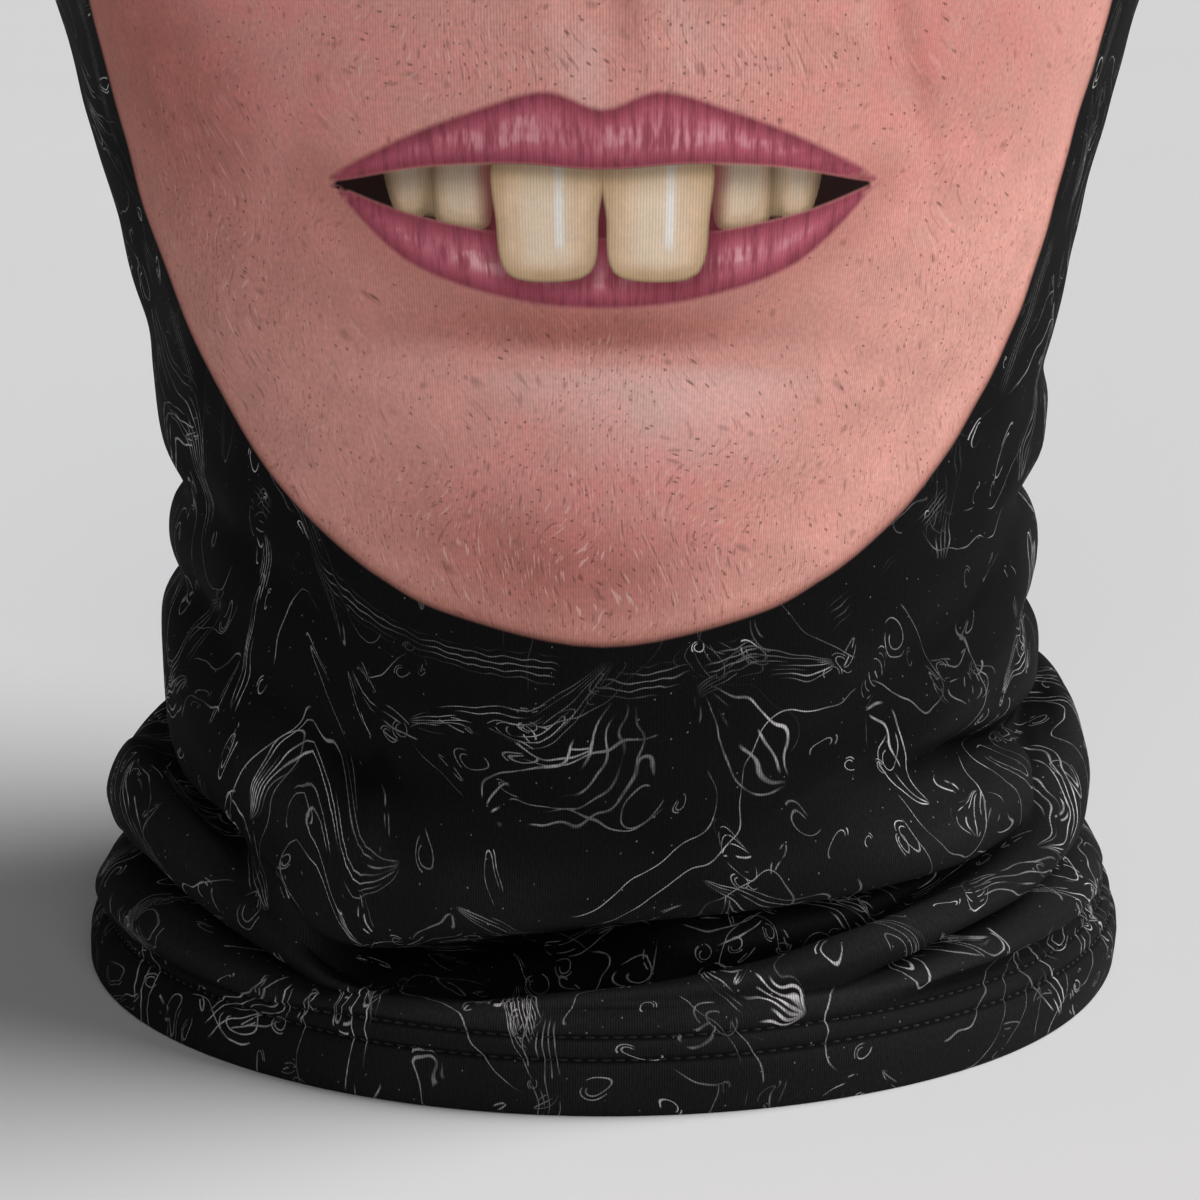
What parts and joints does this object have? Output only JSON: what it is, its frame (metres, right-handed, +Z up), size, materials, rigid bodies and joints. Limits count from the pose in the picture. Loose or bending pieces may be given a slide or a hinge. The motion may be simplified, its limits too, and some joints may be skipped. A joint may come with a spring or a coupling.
{
  "type": "buck teeth neck gaiter mask",
  "caption": "Open tube of printed stretch knit worn over the lower face and neck, standing slumped in soft rolls on its stitched hem.",
  "frame": {"origin": "on the table, under the middle of the tube's box", "axes": "+Z up the tube towards the wearer's eyes, -Y towards the printed front, +X to the right of someone who looks at the front"},
  "size_m": [0.1665, 0.187, 0.2],
  "materials": {
    "printed_knit": "matt fine stretch knit, printed"
  },
  "bodies": {
    "root": {"knit_tube": "printed_knit"}
  },
  "joints": []
}
